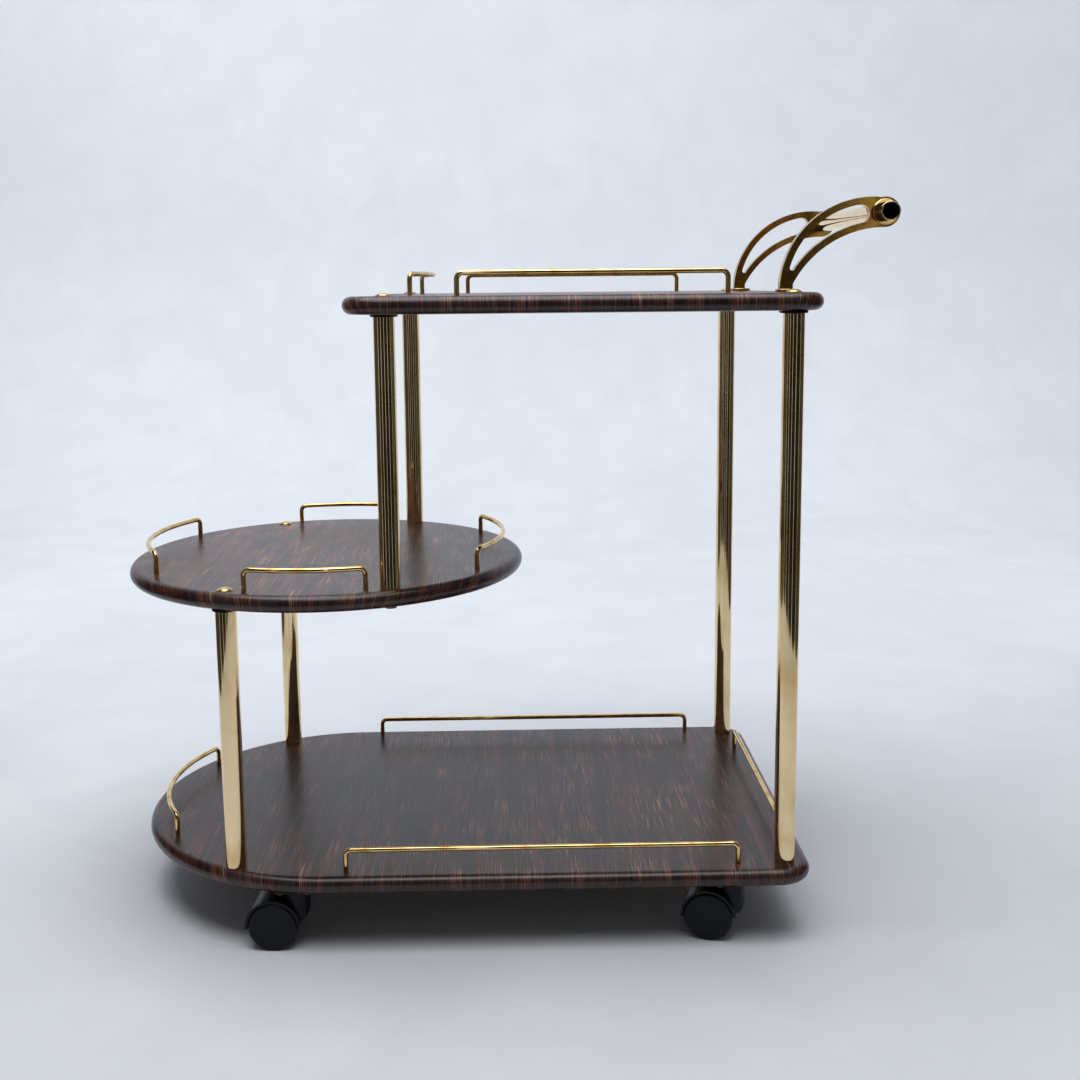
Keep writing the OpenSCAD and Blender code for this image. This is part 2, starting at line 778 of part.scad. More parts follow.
hood(1);  // hood_right_front
hood(2);  // hood_left_back
hood(3);  // hood_right_back
axle(0);  // axle_left_front
axle(1);  // axle_right_front
axle(2);  // axle_left_back
axle(3);  // axle_right_back
wheel(0, -1);  // wheel_left_front_outer
wheel(0, 1);  // wheel_left_front_inner
wheel(1, -1);  // wheel_right_front_outer
wheel(1, 1);  // wheel_right_front_inner
wheel(2, 1);  // wheel_left_back_outer
wheel(2, -1);  // wheel_left_back_inner
wheel(3, 1);  // wheel_right_back_outer
wheel(3, -1);  // wheel_right_back_inner
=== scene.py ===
# %% [markdown]
# # A food service trolley
# Three boards wrapped in rosewood foil stand on brass tubes. Low brass rails run
# round the boards, a split-arm handle pushes it, and four twin-wheel casters carry
# it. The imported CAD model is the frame: it says where each piece is, so the pieces
# made here take their places and sizes from it and only add shape and finish.

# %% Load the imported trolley
import json
import math

import bmesh
import bpy
from mathutils import Matrix, Vector


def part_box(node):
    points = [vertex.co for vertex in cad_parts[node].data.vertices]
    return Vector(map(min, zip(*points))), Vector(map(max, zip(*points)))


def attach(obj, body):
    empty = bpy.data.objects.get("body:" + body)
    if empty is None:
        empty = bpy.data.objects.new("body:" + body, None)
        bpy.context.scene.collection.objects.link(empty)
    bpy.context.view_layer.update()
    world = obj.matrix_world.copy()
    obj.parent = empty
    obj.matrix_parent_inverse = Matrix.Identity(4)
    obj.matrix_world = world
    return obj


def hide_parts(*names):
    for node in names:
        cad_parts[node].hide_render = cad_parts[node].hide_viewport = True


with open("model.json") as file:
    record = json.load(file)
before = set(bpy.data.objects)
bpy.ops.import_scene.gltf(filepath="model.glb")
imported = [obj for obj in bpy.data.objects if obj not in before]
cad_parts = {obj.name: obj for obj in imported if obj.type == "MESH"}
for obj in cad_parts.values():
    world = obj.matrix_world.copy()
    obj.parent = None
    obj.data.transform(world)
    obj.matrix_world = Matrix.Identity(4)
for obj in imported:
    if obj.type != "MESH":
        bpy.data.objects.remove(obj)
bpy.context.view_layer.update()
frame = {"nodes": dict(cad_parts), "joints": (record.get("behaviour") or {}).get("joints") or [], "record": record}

MM = 0.001

# %% [markdown]
# ## The camera
# A trolley is best shown from the height of its top board, so that the top is seen
# edge on and the lower boards open up below it. The camera stands square to the
# long side and looks down a little. A lens shift, as on a view camera, lowers the
# framing without tipping the camera further, which keeps the legs near upright.

# %% Camera
EYE = Vector((0.0127, -1.5064, 0.6881))
YAW, PITCH, ROLL = (math.radians(a) for a in (1.035, -8.144, -0.556))
LENS_MM, SENSOR_MM = 43.523, 36.0
SHIFT = (0.0085, -0.06355)

scene = bpy.context.scene
lens = bpy.data.cameras.new("camera")
lens.lens, lens.sensor_width = LENS_MM, SENSOR_MM
lens.shift_x, lens.shift_y = SHIFT
camera = bpy.data.objects.new("camera", lens)
turn = Matrix.Rotation(-YAW, 4, "Z") @ Matrix.Rotation(math.pi / 2 + PITCH, 4, "X")
camera.matrix_world = Matrix.Translation(EYE) @ turn @ Matrix.Rotation(ROLL, 4, "Z")
scene.collection.objects.link(camera)
scene.camera = camera
scene.view_settings.view_transform = "Standard"
print("camera stands", round(EYE.length, 2), "m from the middle of the floor space")

# %% [markdown]
# ## Two small helpers for finishes
# Paint charts give colours as sRGB hex codes, but shaders work in linear light, so
# one function converts. The other adds a node, sets what is the same all over, and
# links what varies. With these two, a finish reads as a list of its layers.

# %% Colour and node helpers
def colour(code):
    """An sRGB hex code as linear RGBA."""
    parts = [int(code[i:i + 2], 16) / 255 for i in (1, 3, 5)]
    return (*[c / 12.92 if c <= 0.04045 else ((c + 0.055) / 1.055) ** 2.4 for c in parts], 1)


def fill(tree, node, inputs):
    """Links the sockets given, and sets the plain values, on a node's inputs."""
    for name, value in inputs.items():
        if isinstance(value, bpy.types.NodeSocket):
            tree.links.new(value, node.inputs[name])
        else:
            node.inputs[name].default_value = value


def add(tree, kind, inputs=None, **settings):
    """Adds a shader node with its settings and its inputs."""
    node = tree.nodes.new("ShaderNode" + kind)
    for name, value in settings.items():
        setattr(node, name, value)
    fill(tree, node, inputs or {})
    return node


def new_finish(name):
    """An empty finish: the material, its nodes and its main shader."""
    made = bpy.data.materials.new(name)
    made.use_nodes = True
    return made, made.node_tree, made.node_tree.nodes["Principled BSDF"]


print("brass yellow in linear light:", [round(c, 3) for c in colour("#e8cf9a")])

# %% [markdown]
# ## The studio
# A pale paper sweep gives the floor and the wall in one sheet, with a wide curve
# where they meet, so no corner shows. It could be two planes, but their join would
# draw a line behind the legs. The sheet is a single edge, extruded and spun.

# %% Paper sweep
SWEEP_HALF, SWEEP_FRONT, SWEEP_BACK = 6.0, -5.0, 2.1
COVE_R, COVE_STEPS, WALL_H = 0.9, 24, 4.0


def paper_finish():
    """Matt background paper: flat, pale, with the faint clouding of a painted wall."""
    made, tree, shader = new_finish("background_paper")
    place = add(tree, "TexCoord").outputs["Object"]
    cloud = add(tree, "TexNoise", {"Vector": place, "Scale": 1.3, "Detail": 3.0})
    daub = add(tree, "TexNoise", {"Vector": place, "Scale": 7.0, "Detail": 6.0, "Distortion": 0.6})
    both = add(tree, "Math", {0: cloud.outputs["Fac"], 1: daub.outputs["Fac"]},
               operation="MULTIPLY")
    pale = add(tree, "MapRange", {"Value": both.outputs[0], "From Min": 0.12, "From Max": 0.4})
    tone = add(tree, "Mix", {0: pale.outputs[0], 6: colour("#dcdfe4"), 7: colour("#e4e7eb")},
               data_type="RGBA")
    fill(tree, shader, {"Base Color": tone.outputs[2], "Roughness": 0.85})
    return made


def verts_of(geom):
    """The vertices in what an operator gives back."""
    return [g for g in geom if isinstance(g, bmesh.types.BMVert)]


def edges_of(geom):
    """The edges in what an operator gives back."""
    return [g for g in geom if isinstance(g, bmesh.types.BMEdge)]


def sheet_object(name, bm, finish):
    """Makes the bmesh a part of the studio, which isn't part of the trolley."""
    mesh = bpy.data.meshes.new(name)
    bm.to_mesh(mesh)
    bm.free()
    mesh.shade_smooth()
    made = bpy.data.objects.new(name, mesh)
    mesh.materials.append(finish)
    scene.collection.objects.link(made)
    return made


bm = bmesh.new()
front = [bm.verts.new((s * SWEEP_HALF, SWEEP_FRONT, 0)) for s in (-1, 1)]
floor = bmesh.ops.extrude_edge_only(bm, edges=[bm.edges.new(front)])["geom"]
bmesh.ops.translate(bm, verts=verts_of(floor), vec=(0, SWEEP_BACK - SWEEP_FRONT, 0))
cove = bmesh.ops.spin(bm, geom=verts_of(floor) + edges_of(floor), cent=(0, SWEEP_BACK, COVE_R),
                      axis=(1, 0, 0), angle=math.pi / 2, steps=COVE_STEPS)["geom_last"]
wall = bmesh.ops.extrude_edge_only(bm, edges=edges_of(cove))["geom"]
bmesh.ops.translate(bm, verts=verts_of(wall), vec=(0, 0, WALL_H))
bmesh.ops.recalc_face_normals(bm, faces=bm.faces)
sweep = sheet_object("paper_sweep", bm, paper_finish())
print("sweep reaches", [round(v, 2) for v in sweep.dimensions])

# %% [markdown]
# ## Light
# Soft light comes from a pale room, a large softbox overhead and one for the wall.
# Polished brass shows whatever stands round it, so a product studio puts black cards
# behind the camera: their reflections darken a tube, the pale floor lightens its foot,
# and the gaps draw bright lines that make it look round. Only the camera itself doesn't
# see the cards, so they also hold back the light from the front.

# %% Room, softboxes and black cards
ROOM_LIGHT = 0.98
world = bpy.data.worlds.new("pale_room")
world.use_nodes = True
scene.world = world
fill(world.node_tree, world.node_tree.nodes["Background"],
     {"Color": colour("#ecf0f5"), "Strength": ROOM_LIGHT})


def softbox(name, place, aim, size, watts, tint, spread):
    """A flat lamp aimed at a point. size is in metres, spread in degrees."""
    lamp = bpy.data.lights.new(name, "AREA")
    lamp.shape, lamp.size, lamp.size_y, lamp.energy = "RECTANGLE", size[0], size[1], watts
    lamp.color, lamp.spread = colour(tint)[:3], math.radians(spread)
    made = bpy.data.objects.new(name, lamp)
    made.location = place
    made.rotation_euler = (Vector(aim) - Vector(place)).to_track_quat("-Z", "Y").to_euler()
    scene.collection.objects.link(made)


softbox("softbox_above", (-0.2, -0.3, 2.6), (0, 0, 0.3), (2.4, 1.8), 47, "#fcfcff", 180)
softbox("softbox_wall", (-0.6, 0.9, 2.9), (-0.4, 3.0, 1.5), (2.4, 0.6), 8, "#fdfcfb", 120)

# Black cards stand in a half circle round the camera side, like a curtain with gaps.
# The gaps leave the thin bright lines that run down a tube, and grey cards at both ends
# keep its flanks golden. Each card has its start and end, in degrees about the trolley,
# with 270 behind the camera.
CURTAIN = Vector((0.1, -0.1, 0))
CURTAIN_R, CARD_TOP = 1.4, 2.1
BLACK_CARDS = [(207, 231), (234, 262), (264.5, 296), (299, 335)]
GREY_CARDS = [(150, 204), (337, 392)]


def room_card(name, finish, start, end):
    """An upright sheet that darkens the room from start to end, unseen by the camera."""
    bm = bmesh.new()
    feet = [bm.verts.new(CURTAIN + CURTAIN_R * Vector((math.cos(a), math.sin(a), 0)))
            for a in (math.radians(start), math.radians(end))]
    grown = bmesh.ops.extrude_edge_only(bm, edges=[bm.edges.new(feet)])["geom"]
    bmesh.ops.translate(bm, verts=verts_of(grown), vec=(0, 0, CARD_TOP))
    sheet_object(name, bm, finish).visible_camera = False


def card_finish(name, tones):
    """Matt card, a little uneven as it is with handling."""
    made, tree, shader = new_finish(name)
    place = add(tree, "TexCoord").outputs["Object"]
    cloud = add(tree, "TexNoise", {"Vector": place, "Scale": 3.0, "Detail": 3.0})
    tone = add(tree, "Mix", {0: cloud.outputs["Fac"], 6: colour(tones[0]), 7: colour(tones[1])},
               data_type="RGBA")
    fill(tree, shader, {"Base Color": tone.outputs[2], "Roughness": 0.9})
    return made


black_paper = card_finish("black_card_paper", ("#0a0a0b", "#121213"))
grey_paper = card_finish("grey_card_paper", ("#3f3a35", "#544e47"))
for i, (start, end) in enumerate(BLACK_CARDS):
    room_card(f"black_card_{i}", black_paper, start, end)
for i, (start, end) in enumerate(GREY_CARDS):
    room_card(f"grey_card_{i}", grey_paper, start, end)
print("light set:", len(bpy.data.lights), "softboxes,", len(BLACK_CARDS + GREY_CARDS), "cards")

# %% [markdown]
# ## Rosewood foil
# The boards are chipboard wrapped in a printed foil, which is why the grain runs
# over the rounded edge without a joint. The print has a near-black ground, redder
# clouds, dark veins, and short thin streaks where the cut pores show orange. Each
# layer is noise stretched along the grain, and real widths in mm set the stretch.
# The pattern reads a UV map that unfolds the foil, so it wraps as the real one does.

# %% Rosewood foil
def grain(tree, place, width, length, low, high, shift=0.0, detail=2.0):
    """A layer of grain: streaks of this width and length in mm, 0 below low, 1 above high."""
    along = add(tree, "Mapping", {"Vector": place, "Location": (shift, shift, 0),
                                  "Scale": (1 / (width * MM), 1 / (length * MM), 1)})
    noise = add(tree, "TexNoise", {"Vector": along.outputs[0], "Scale": 1.0, "Detail": detail})
    mask = add(tree, "MapRange",
               {"Value": noise.outputs["Fac"], "From Min": low, "From Max": high},
               interpolation_type="SMOOTHSTEP")
    return mask.outputs[0]


def rosewood_foil():
    """Printed and embossed foil under satin lacquer: dark, streaky, with a soft grey sheen."""
    made, tree, shader = new_finish("rosewood_foil")
    flat = add(tree, "TexCoord").outputs["UV"]
    sway = add(tree, "TexNoise", {"Vector": flat, "Scale": 1 / (180 * MM), "Detail": 1.0})
    place = add(tree, "VectorMath", {0: sway.outputs["Color"], 1: (6 * MM, 0, 0), 2: flat},
                operation="MULTIPLY_ADD").outputs[0]
    clouds = grain(tree, place, 60, 260, 0.35, 0.65)
    ground = add(tree, "Mix", {0: clouds, 6: colour("#1c0f10"), 7: colour("#2c1816")},
                 data_type="RGBA")
    bands = grain(tree, place, 9, 300, 0.46, 0.68, 3.7, 4.0)
    redder = add(tree, "Mix", {0: bands, 6: ground.outputs[2], 7: colour("#54291f")},
                 data_type="RGBA")
    veins = grain(tree, place, 2.2, 160, 0.5, 0.64, 8.1, 3.0)
    veined = add(tree, "Mix", {0: veins, 6: redder.outputs[2], 7: colour("#120b0c")},
                 data_type="RGBA")
    streaks = grain(tree, place, 0.8, 55, 0.53, 0.66, 5.3, 2.0)
    groups = grain(tree, place, 22, 110, 0.36, 0.64, 1.9)
    shown = add(tree, "Math", {0: streaks, 1: groups}, operation="MULTIPLY").outputs[0]
    pores = add(tree, "Mix", {0: clouds, 6: colour("#8f5038"), 7: colour("#b98467")},
                data_type="RGBA")
    tone = add(tree, "Mix", {0: shown, 6: veined.outputs[2], 7: pores.outputs[2]},
               data_type="RGBA")
    wear = add(tree, "TexNoise", {"Vector": flat, "Scale": 1 / (34 * MM), "Detail": 4.0})
    gloss = add(tree, "MapRange", {"Value": wear.outputs["Fac"], "To Min": 0.26, "To Max": 0.36})
    emboss = add(tree, "Bump", {"Height": shown, "Strength": 0.25, "Distance": 0.05 * MM},
                 invert=True)
    fill(tree, shader, {"Base Color": tone.outputs[2], "Roughness": gloss.outputs[0],
                        "Normal": emboss.outputs[0], "IOR": 1.5})
    return made


foil = rosewood_foil()
print("foil has", len(foil.node_tree.nodes), "nodes")

# %% [markdown]
# ## Brass, plastics and steel
# The tubes and rods are brass-plated steel, buffed until they mirror the room. The
# plating differs only in how even and how smooth it is, so one function makes every
# brass: a bright and a dull tone in soft clouds, a roughness range, and a relief.
# A metal keeps the default IOR, since its colour already says how it reflects.

# %% Brass finishes
def brass(name, bright, dull, gloss, cloud_mm, relief_mm, grit_mm):
    """Plated or cast brass. gloss is the roughness from its clean to its dull places."""
    made, tree, shader = new_finish(name)
    place = add(tree, "TexCoord").outputs["Object"]
    cloud = add(tree, "TexNoise", {"Vector": place, "Scale": 1 / (cloud_mm * MM), "Detail": 4.0})
    tarnish = add(tree, "MapRange",
                  {"Value": cloud.outputs["Fac"], "From Min": 0.4, "From Max": 0.72},
                  interpolation_type="SMOOTHSTEP").outputs[0]
    tone = add(tree, "Mix", {0: tarnish, 6: colour(bright), 7: colour(dull)}, data_type="RGBA")
    rough = add(tree, "MapRange", {"Value": tarnish, "To Min": gloss[0], "To Max": gloss[1]})
    along = add(tree, "Mapping", {"Vector": place, "Scale": tuple(1 / (g * MM) for g in grit_mm)})
    grit = add(tree, "TexNoise", {"Vector": along.outputs[0], "Scale": 1.0, "Detail": 2.0})
    relief = add(tree, "Bump", {"Height": grit.outputs["Fac"], "Strength": 0.5,
                                "Distance": relief_mm * MM})
    fill(tree, shader, {"Base Color": tone.outputs[2], "Metallic": 1.0,
                        "Roughness": rough.outputs[0], "Normal": relief.outputs[0]})
    return made


# Drawn tube, buffed along its length and brass plated: pale gold, with reflections in long lines
tube_brass = brass("polished_tube_brass", "#f0d9ac", "#d8b87e", (0.05, 0.11), 60, 0.002,
                   (6, 6, 260))
# The grip's tube has the same plate, but lies across the trolley, so its lines do too
grip_brass = brass("polished_grip_brass", "#f0d9ac", "#d8b87e", (0.05, 0.12), 60, 0.002,
                   (6, 260, 6))
# Bent rod with the same plate, a little deeper in tone where hands have dulled it
rod_brass = brass("polished_rod_brass", "#ecc98a", "#c49a58", (0.07, 0.18), 18, 0.012, (4, 4, 4))
# Cast and tumbled arms, lacquered old gold: soft highlights and dark reflections
cast_brass = brass("antique_cast_brass", "#c99a48", "#96702f", (0.16, 0.28), 14, 0.05,
                   (1.6, 1.6, 1.6))
print("brass finishes:", *(b.name for b in (tube_brass, grip_brass, rod_brass, cast_brass)))


# %% Moulded plastics and plated steel
DRY_GLOSS = 0.2       # mouldings and bare plate gleam less than a lacquered face


def grained_plain(name, tones, gloss, metallic, cloud_mm, grit_mm, relief_mm):
    """A plain stock finish: two close tones in clouds, and a fine grit you can feel."""
    made, tree, shader = new_finish(name)
    place = add(tree, "TexCoord").outputs["Object"]
    cloud = add(tree, "TexNoise", {"Vector": place, "Scale": 1 / (cloud_mm * MM), "Detail": 5.0})
    tone = add(tree, "Mix", {0: cloud.outputs["Fac"], 6: colour(tones[0]), 7: colour(tones[1])},
               data_type="RGBA")
    rough = add(tree, "MapRange",
                {"Value": cloud.outputs["Fac"], "To Min": gloss[0], "To Max": gloss[1]})
    grit = add(tree, "TexNoise", {"Vector": place, "Scale": 1 / (grit_mm * MM), "Detail": 1.0})
    relief = add(tree, "Bump", {"Height": grit.outputs["Fac"], "Strength": 0.4,
                                "Distance": relief_mm * MM})
    fill(tree, shader, {"Base Color": tone.outputs[2], "Metallic": metallic,
                        "Normal": relief.outputs[0], "Roughness": rough.outputs[0],
                        "Specular IOR Level": DRY_GLOSS})
    return made


# Glass-filled nylon, moulded against a spark-eroded tool: satin blue-black
nylon = grained_plain("moulded_black_nylon", ("#090b10", "#12161c"), (0.3, 0.42), 0, 22, 0.7, 0.04)
# Moulded polythene collars: plain black, a little glossier
collar_plastic = grained_plain("moulded_black_collar", ("#0c0c0d", "#171718"),
                               (0.3, 0.42), 0, 12, 0.8, 0.02)
# Black zinc on the caster plates: thin, dark, faintly metallic
black_zinc = grained_plain("black_zinc_steel", ("#191a1c", "#2a2b2e"),
                           (0.35, 0.5), 0.6, 9, 0.6, 0.02)
# Zinc on bolts and pins: mid grey, its tone painted darker as painted shade for parts under the boards, with the
# cloudy bloom of the bath
zinc_with_painted_shade = grained_plain("zinc_steel_painted_shade", ("#4c4e52", "#6d7074"),
                          (0.35, 0.55), 1, 5, 0.5, 0.02)
# Bare steel inside the grip tube, left unplated; its near-black tone is painted shade inside the bore
bore_painted_shade = grained_plain("tube_bore_painted_shade", ("#0b0908", "#1d1814"),
                           (0.5, 0.7), 0.3, 6, 0.6, 0.03)
print("plain finishes: 5")

# %% [markdown]
# ## Shape helpers
# Most metal parts here are turned or drawn, so they are made as a lathe makes them:
# a half section spun round an axis. A real edge is never perfectly sharp, and its
# small round is what catches a line of light, so every piece has its edges bevelled.

# %% Spin a section, round the edges, hand over a piece
SLOT_OF = {s["node"]: s["material_slot"] for s in frame["record"]["subparts"]}


def turned(bm, section, place=Matrix(), steps=64, closed=False):
    """Spins (radius, height) points in mm a full turn about Z, then puts the shape in place."""
    known = set(bm.verts)
    line = [bm.verts.new((r * MM, 0, h * MM)) for r, h in section]
    pairs = list(zip(line, line[1:])) + ([(line[-1], line[0])] if closed else [])
    edges = [bm.edges.new(p) for p in pairs]
    bmesh.ops.spin(bm, geom=line + edges, cent=(0, 0, 0), axis=(0, 0, 1),
                   angle=math.tau, steps=steps, use_merge=True)
    made = [v for v in bm.verts if v not in known]
    bmesh.ops.remove_doubles(bm, verts=made, dist=0.001 * MM)
    made = [v for v in bm.verts if v not in known]
    bmesh.ops.recalc_face_normals(bm, faces=list({f for v in made for f in v.link_faces}))
    bmesh.ops.transform(bm, matrix=place, verts=made)


def round_edges(bm, width, steps=3, sharper=35.0, only=None):
    """Bevels the edges that are sharper than this angle, in degrees, by a width in mm."""
    bm.normal_update()
    chosen = [e for e in bm.edges if len(e.link_faces) == 2
              and math.degrees(e.calc_face_angle(0)) > sharper and (only is None or only(e))]
    bmesh.ops.bevel(bm, geom=chosen, offset=width * MM, offset_type="OFFSET", segments=steps,
                    profile=0.5, affect="EDGES", clamp_overlap=True, material=-1)
    return len(chosen)


def piece(bm, name, finishes, body, *nodes, sharp=40.0):
    """Makes the bmesh an object that rides on a body and stands for CAD nodes."""
    mesh = bpy.data.meshes.new(name)
    bmesh.ops.remove_doubles(bm, verts=bm.verts, dist=0.001 * MM)
    bm.to_mesh(mesh)
    bm.free()
    mesh.shade_smooth()
    mesh.set_sharp_from_angle(angle=math.radians(sharp))
    for finish in finishes:
        mesh.materials.append(finish)
    made = bpy.data.objects.new(name, mesh)
    scene.collection.objects.link(made)
    made.modifiers.new("flat_faces_shade_flat", "WEIGHTED_NORMAL").keep_sharp = True
    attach(made, body)
    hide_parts(*nodes)
    return made


def middle(node):
    """The centre of a CAD node's box."""
    low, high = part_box(node)
    return (low + high) / 2


def at(x, y, z):
    """A move to a place in metres."""
    return Matrix.Translation((x, y, z))


print("slots in the record:", sorted(set(SLOT_OF.values())))

# %% [markdown]
# ## The boards
# Each board is cut to its outline, its edge is turned to a full half round, and one
# sheet of foil is pulled over it. Here the outline is drawn with arcs, filled and
# extruded to a slab. Bevelling both rims by half the thickness then makes the half
# round. A narrow inset keeps the flat faces truly flat when the edge is smoothed.

# %% Board outline, slab and half-round edge
EDGE_STEPS = 10
FLAT_MARGIN = 1.2     # mm of flat face kept as its own ring
ARC_STEP = 3.0        # degrees between points on a corner
WIDE_R = 0.1          # arcs from this radius up, in metres, get twice as many points


def draw_outline(bm, arcs):
    """Joins arcs into one closed line.

    An arc is (centre x, centre y, radius, from, to), in metres and degrees.
    """
    line = []
    for x, y, radius, start, end in arcs:
        known = len(bm.verts)
        a = math.radians(start)
        first = bm.verts.new((x + radius * math.cos(a), y + radius * math.sin(a), 0))
        steps = max(2, round(abs(end - start) / ARC_STEP * (1 if radius < WIDE_R else 2)))
        bmesh.ops.spin(bm, geom=[first], cent=(x, y, 0), axis=(0, 0, 1),
                       angle=math.radians(end - start), steps=steps)
        bm.verts.ensure_lookup_table()
        line += bm.verts[known:]
    for pair in zip(line, line[1:] + line[:1]):
        if (pair[0].co - pair[1].co).length > 0.01 * MM and not bm.edges.get(pair):
            bm.edges.new(pair)
    bmesh.ops.remove_doubles(bm, verts=bm.verts, dist=0.01 * MM)


def slab(bm, top, thick):
    """Fills the outline, extrudes it down, rounds both rims and keeps the faces flat."""
    bmesh.ops.contextual_create(bm, geom=bm.edges)
    bmesh.ops.translate(bm, verts=bm.verts, vec=(0, 0, top))
    lower = bmesh.ops.extrude_face_region(bm, geom=bm.faces[:])["geom"]
    bmesh.ops.translate(bm, verts=verts_of(lower), vec=(0, 0, -thick))
    bmesh.ops.recalc_face_normals(bm, faces=bm.faces)
    rims = [e for e in bm.edges if abs(e.verts[0].co.z - e.verts[1].co.z) < thick / 2]
    bmesh.ops.bevel(bm, geom=rims, offset=thick / 2 - 0.001 * MM, offset_type="OFFSET",
                    segments=EDGE_STEPS, profile=0.5, affect="EDGES", clamp_overlap=False,
                    material=-1)
    bmesh.ops.remove_doubles(bm, verts=bm.verts, dist=0.01 * MM)
    flats = [f for f in bm.faces if abs(f.normal.z) > 0.999 and len(f.verts) > 8]
    bmesh.ops.inset_region(bm, faces=flats, thickness=FLAT_MARGIN * MM, use_even_offset=True)


def unfold_foil(bm, mid_z, edge_r):
    """Gives each corner the UV, in metres, that it has on the foil once peeled and laid flat."""
    uv = bm.loops.layers.uv.new("foil")
    bm.normal_update()
    for face in bm.faces:
        flat = abs(face.normal.z) > 0.9999
        for loop in face.loops:
            spot, out = loop.vert.co, loop.vert.normal.to_2d()
            if not flat and out.length > 1e-4:
                tilt = math.asin(max(-1, min(1, (spot.z - mid_z) / edge_r)))
                reach = edge_r * (math.pi / 2 - tilt - math.cos(tilt))
                loop[uv].uv = spot.to_2d() + out.normalized() * reach
            else:
                loop[uv].uv = spot.to_2d()


def make_board(name, node, arcs):
    """A foil-wrapped board with this outline, at the height and thickness of its CAD node."""
    low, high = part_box(node)
    thick = high.z - low.z
    bm = bmesh.new()
    draw_outline(bm, arcs)
    slab(bm, high.z, thick)
    unfold_foil(bm, (low.z + high.z) / 2, thick / 2)
    made = piece(bm, name, [foil], "trolley", node, sharp=60)
    print(name, "mm:", [round(v / MM, 1) for v in made.dimensions],
          len(made.data.polygons), "faces")


# %% [markdown]
# The middle board is a full circle. The base board is half a circle at one end and
# has two round corners at the other. The top board has the same round corners and,
# at the far end, a hollow: an arc that bites in between two round horns. The arc's
# radius follows from how deep it bites and from the horns that it runs into.

# %% The three boards
CORNER_R = 36 * MM
BITE_IN = 25 * MM

low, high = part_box("round_board")
round_r = (high.y - low.y) / 2
round_mid = (low + high) / 2
make_board("round_foil_board", "round_board",
           [(round_mid.x, round_mid.y, round_r, a, a + 90) for a in (0, 90, 180, 270)])

low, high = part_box("base_board")
half = high.y
make_board("base_foil_board", "base_board", [
    (low.x + half, 0, half, 90, 270),
    (high.x - CORNER_R, CORNER_R - half, CORNER_R, 270, 360),
    (high.x - CORNER_R, half - CORNER_R, CORNER_R, 0, 90)])

low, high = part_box("top_board")
horn = Vector((low.x + CORNER_R, high.y - CORNER_R))
bite_r = (BITE_IN ** 2 + horn.y ** 2 - CORNER_R ** 2) / (2 * (BITE_IN + CORNER_R))
bite_x = horn.x + BITE_IN - bite_r
bite_a = math.degrees(math.asin(horn.y / (bite_r + CORNER_R)))
make_board("top_foil_board", "top_board", [
    (high.x - CORNER_R, horn.y, CORNER_R, 0, 90),
    (horn.x, horn.y, CORNER_R, 90, 180 + bite_a),
    (bite_x, 0, bite_r, bite_a, -bite_a),
    (horn.x, -horn.y, CORNER_R, 180 - bite_a, 270),
    (high.x - CORNER_R, -horn.y, CORNER_R, 270, 360)])

# %% [markdown]
# ## Legs, collars and bolts
# A leg is drawn tube with its ends cut square and brushed over. Under each board a
# black collar hides the tube's end, and a domed bolt comes down through the board
# into it. All are lathe shapes, so each is one half section spun round its axis.

# %% Tube legs
LEG_WALL = 1.2
LEGS = [f"{kind}_leg_{side}" for kind in ("end", "lower", "upper") for side in ("front", "back")]

for name in LEGS:
    low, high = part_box(name)
    mid, r, length = middle(name), (high.x - low.x) / 2 / MM, (high.z - low.z) / MM
    bm = bmesh.new()
    turned(bm, [(r, 0), (r, length), (r - LEG_WALL, length), (r - LEG_WALL, 0)],
           at(mid.x, mid.y, low.z), steps=96, closed=True)
    round_edges(bm, 0.3)
    piece(bm, name.replace("leg", "tube_leg"), [tube_brass], "trolley", name)
print("legs:", len(LEGS), "of", round(2 * r, 1), "mm tube")

# %% Collars and domed bolts
COLLAR_R, COLLAR_T, PLUG_R, PLUG_L = 14.0, 2.5, 9.75, 18.0
HEAD_R, HEAD_H, RIM_H, DOME_R = 8.25, 3.0, 0.9, 6.85
SHANK_R, BOLT_L = 3.0, 30.0

low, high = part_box("round_board")
board_t = high.z - low.z
collars, bolts = bmesh.new(), bmesh.new()
for name in LEGS:
    mid, top = middle(name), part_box(name)[1].z
    board_top = top + COLLAR_T * MM + board_t
    turned(collars, [(0, COLLAR_T), (COLLAR_R, COLLAR_T), (COLLAR_R, 0), (PLUG_R, 0),
                     (PLUG_R, -PLUG_L), (0, -PLUG_L)], at(mid.x, mid.y, top))
    dome = [(DOME_R * math.cos(a), RIM_H + (HEAD_H - RIM_H) * math.sin(a))
            for a in [math.radians(d) for d in range(0, 91, 10)]]
    turned(bolts, [(0, -BOLT_L), (SHANK_R, -BOLT_L), (SHANK_R, 0), (HEAD_R, 0), (HEAD_R, RIM_H)]
           + dome, at(mid.x, mid.y, board_top))
round_edges(collars, 0.4)
round_edges(bolts, 0.25)
piece(collars, "moulded_collars", [collar_plastic], "trolley", "leg_collars")
piece(bolts, "domed_bolts", [rod_brass], "trolley", "dome_bolts")
print("a collar and a bolt on each leg")

# %% [markdown]
# ## Gallery rails
# A rail is one rod, bent down at both ends and pressed into the board. A ring of
# points is carried along it as the bender's die carries the rod: up the foot, round
# the bend, along the bar and down again. Straight runs are extruded and bends are
# spun. A rail's box gives its length, its rise and how far it bows out.

# %% Bend a rod into a rail
ROD_SIDES, BEND_STEPS, BOW_STEPS = 20, 8, 32
BEND_MM = 6.5
ROD_R = (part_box("base_rail_front")[1].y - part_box("base_rail_front")[0].y) / 2


